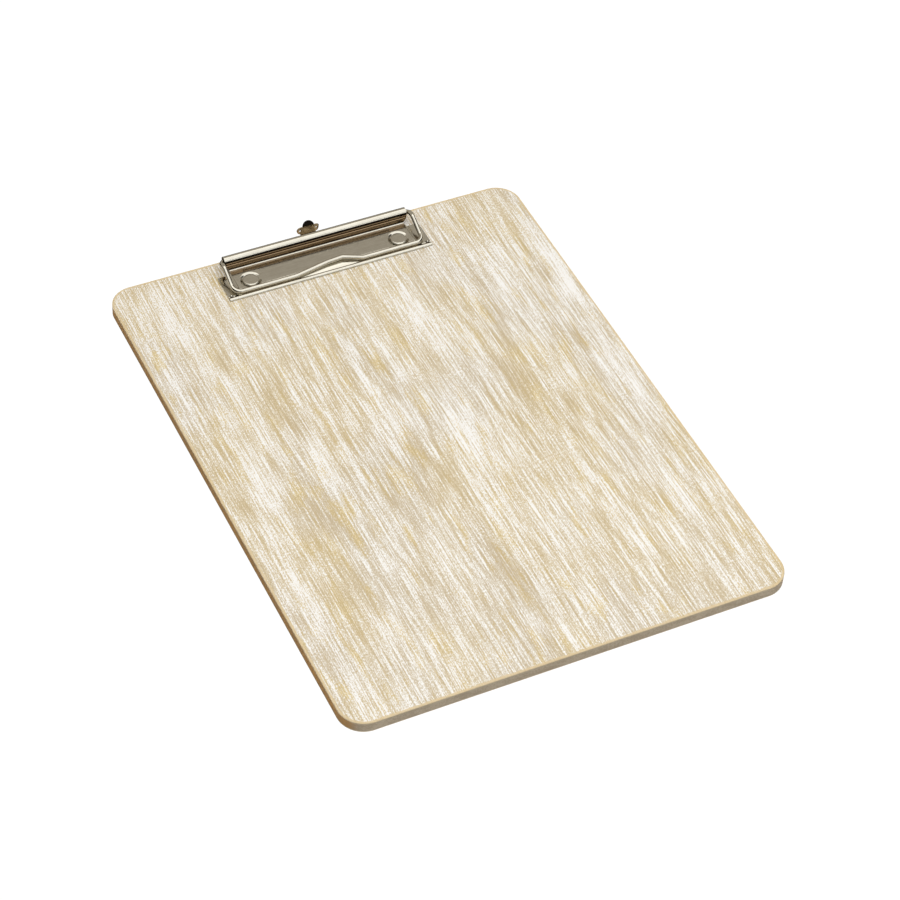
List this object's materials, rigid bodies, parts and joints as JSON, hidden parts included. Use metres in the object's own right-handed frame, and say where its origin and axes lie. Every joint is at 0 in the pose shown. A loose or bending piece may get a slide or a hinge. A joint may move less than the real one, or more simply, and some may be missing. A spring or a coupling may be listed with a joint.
{
  "type": "clipboard",
  "caption": "Rectangular wooden clipboard with rounded corners, a sprung wire bail clip on a stamped nickel base plate, and a pull-out hanging tab.",
  "frame": {"origin": "centre of the board's back face", "axes": "+Z out of the writing face, +Y along the board towards the clip end, +X to the right of someone reading the sheet"},
  "size_m": [0.24, 0.3243, 0.0157],
  "materials": {
    "whitewashed_veneer": "open-pore oak veneer, white wash rubbed into the grain, matt lacquer",
    "fibreboard": "fine fibreboard, white-grey stained and sanded edge",
    "nickel_plate": "bright nickel-plated steel sheet",
    "nickel_wire": "bright nickel-plated spring wire",
    "spring_steel": "oiled spring steel"
  },
  "bodies": {
    "board": {"back_veneer": "whitewashed_veneer", "board_core": "fibreboard", "face_veneer": "whitewashed_veneer", "base_plate": "nickel_plate", "left_rivet": "nickel_plate", "right_rivet": "nickel_plate", "left_rivet_washer": "nickel_plate", "right_rivet_washer": "nickel_plate", "left_torsion_spring": "spring_steel", "right_torsion_spring": "spring_steel"},
    "bail": {"wire_bail": "nickel_wire"},
    "tab": {"hanging_tab": "nickel_plate"}
  },
  "joints": [
    {"name": "bail_hinge", "type": "hinge", "parent": "board", "child": "bail", "pos_m": [-0.0011, 0.1532, 0.013], "axis": [-1, 0, 0], "range_deg": [0, 75], "stiffness_Nm_per_rad": 0.12, "springref_deg": -57.3},
    {"name": "tab_slide", "type": "slide", "parent": "board", "child": "tab", "axis": [0, 1, 0], "range_m": [0, 0.008]}
  ]
}
